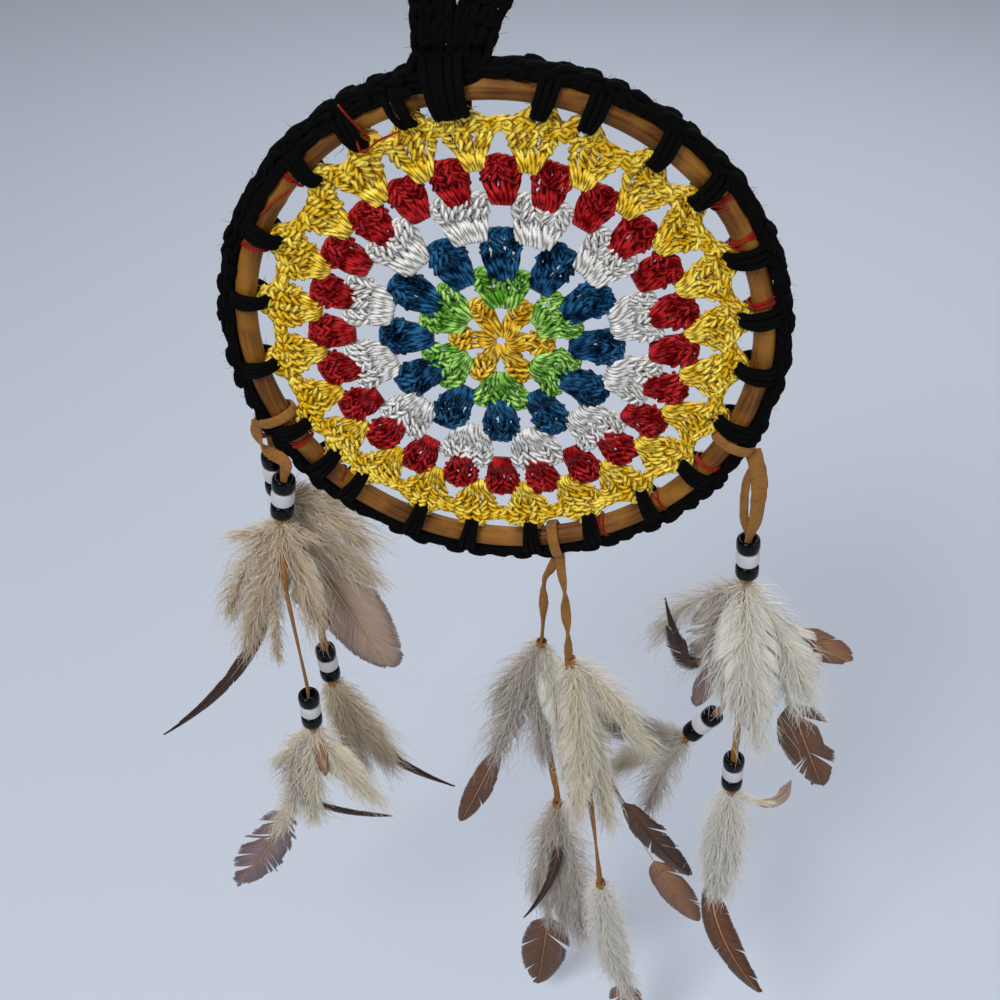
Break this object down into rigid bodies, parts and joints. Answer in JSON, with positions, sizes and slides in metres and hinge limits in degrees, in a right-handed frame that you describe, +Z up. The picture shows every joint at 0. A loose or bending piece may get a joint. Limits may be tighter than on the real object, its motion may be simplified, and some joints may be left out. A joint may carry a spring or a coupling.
{
  "type": "dream catcher",
  "caption": "Crochet dream catcher: a mandala of coloured cotton laced into a rattan hoop with black yarn, hung from a loop, with suede laces carrying beads and feathers below.",
  "frame": {"origin": "inside top of the hanging loop, where it rests on its hook", "axes": "+X to the viewer's right, +Y away from the viewer, +Z up; the hoop lies in an X-Z plane and its front faces -Y"},
  "size_m": [0.2979, 0.0348, 0.5892],
  "materials": {
    "rattan": "smooth cane with darker nodes",
    "gold_cotton": "mercerised crochet cotton",
    "lime_cotton": "mercerised crochet cotton",
    "teal_cotton": "mercerised crochet cotton",
    "white_cotton": "mercerised crochet cotton",
    "red_cotton": "mercerised crochet cotton",
    "yellow_cotton": "mercerised crochet cotton",
    "black_yarn": "fuzzy matte yarn",
    "suede": "soft napped suede lace",
    "black_bead": "glossy moulded bead",
    "white_bead": "glossy moulded bead",
    "tan_feather": "down and vane feathers",
    "cream_feather": "down and vane feathers",
    "white_feather": "down and vane feathers"
  },
  "bodies": {
    "hanger": {"hanging_loop": "black_yarn"},
    "hoop": {"hanger_base": "black_yarn", "hoop": "rattan", "edging": "black_yarn", "flower_round": "gold_cotton", "green_round": "lime_cotton", "blue_round": "teal_cotton", "white_round": "white_cotton", "red_round": "red_cotton", "yellow_border": "yellow_cotton", "lace_fold_left": "suede", "lace_fold_centre": "suede", "lace_fold_right": "suede"},
    "left_front_tail": {"lace_left_front_tail": "suede", "left_front_tail_bead_1": "black_bead", "left_front_tail_bead_2": "white_bead", "left_front_tail_bead_3": "black_bead", "tuft_left_front_tail": "tan_feather"},
    "left_back_tail": {"lace_left_back_tail": "suede", "left_back_tail_bead_1": "black_bead", "left_back_tail_bead_2": "white_bead", "left_back_tail_bead_3": "black_bead", "tuft_left_back_tail": "tan_feather"},
    "left_pendant": {"lace_left_front": "suede", "left_front_bead_1": "black_bead", "left_front_bead_2": "white_bead", "left_front_bead_3": "black_bead", "tuft_left_front": "tan_feather", "lace_left_back": "suede", "left_back_bead_1": "black_bead", "left_back_bead_2": "white_bead", "left_back_bead_3": "black_bead", "tuft_left_back": "tan_feather"},
    "centre_front_tail": {"lace_centre_front_tail": "suede", "tuft_centre_front_tail": "cream_feather"},
    "centre_back_tail": {"lace_centre_back_tail": "suede", "tuft_centre_back_tail": "cream_feather"},
    "centre_pendant": {"lace_centre_front": "suede", "tuft_centre_front": "cream_feather", "lace_centre_back": "suede", "tuft_centre_back": "cream_feather"},
    "right_front_tail": {"lace_right_front_tail": "suede", "right_front_tail_bead_1": "black_bead", "right_front_tail_bead_2": "white_bead", "right_front_tail_bead_3": "black_bead", "tuft_right_front_tail": "white_feather"},
    "right_back_tail": {"lace_right_back_tail": "suede", "right_back_tail_bead_1": "black_bead", "right_back_tail_bead_2": "white_bead", "right_back_tail_bead_3": "black_bead", "tuft_right_back_tail": "white_feather"},
    "right_pendant": {"lace_right_front": "suede", "right_front_bead_1": "black_bead", "right_front_bead_2": "white_bead", "right_front_bead_3": "black_bead", "tuft_right_front": "white_feather", "lace_right_back": "suede"}
  },
  "joints": [
    {"name": "hoop_swing", "type": "hinge", "parent": "hanger", "child": "hoop", "pos_m": [-0.00722, 0, -0.0493], "axis": [1, 0, 0], "range_deg": [-35, 35]},
    {"name": "left_swing", "type": "hinge", "parent": "hoop", "child": "left_pendant", "pos_m": [-0.08103, 0, -0.18873], "axis": [1, 0, 0], "range_deg": [-45, 45]},
    {"name": "left_front_tail_swing", "type": "hinge", "parent": "left_pendant", "child": "left_front_tail", "pos_m": [-0.07393, -0.013, -0.25923], "axis": [0, 1, 0], "range_deg": [-12, 12]},
    {"name": "left_back_tail_swing", "type": "hinge", "parent": "left_pendant", "child": "left_back_tail", "pos_m": [-0.07103, 0.013, -0.27673], "axis": [0, 1, 0], "range_deg": [-12, 12]},
    {"name": "centre_swing", "type": "hinge", "parent": "hoop", "child": "centre_pendant", "pos_m": [0.03137, 0, -0.24416], "axis": [1, 0, 0], "range_deg": [-45, 45]},
    {"name": "centre_front_tail_swing", "type": "hinge", "parent": "centre_pendant", "child": "centre_front_tail", "pos_m": [0.04647, -0.013, -0.35386], "axis": [0, 1, 0], "range_deg": [-12, 12]},
    {"name": "centre_back_tail_swing", "type": "hinge", "parent": "centre_pendant", "child": "centre_back_tail", "pos_m": [0.02847, 0.013, -0.37087], "axis": [0, 1, 0], "range_deg": [-12, 12]},
    {"name": "right_swing", "type": "hinge", "parent": "hoop", "child": "right_pendant", "pos_m": [0.09837, 0, -0.18795], "axis": [1, 0, 0], "range_deg": [-45, 45]},
    {"name": "right_front_tail_swing", "type": "hinge", "parent": "right_pendant", "child": "right_front_tail", "pos_m": [0.10547, -0.013, -0.29885], "axis": [0, 1, 0], "range_deg": [-12, 12]},
    {"name": "right_back_tail_swing", "type": "hinge", "parent": "right_pendant", "child": "right_back_tail", "pos_m": [0.10247, 0.013, -0.30885], "axis": [0, 1, 0], "range_deg": [-12, 12]}
  ]
}
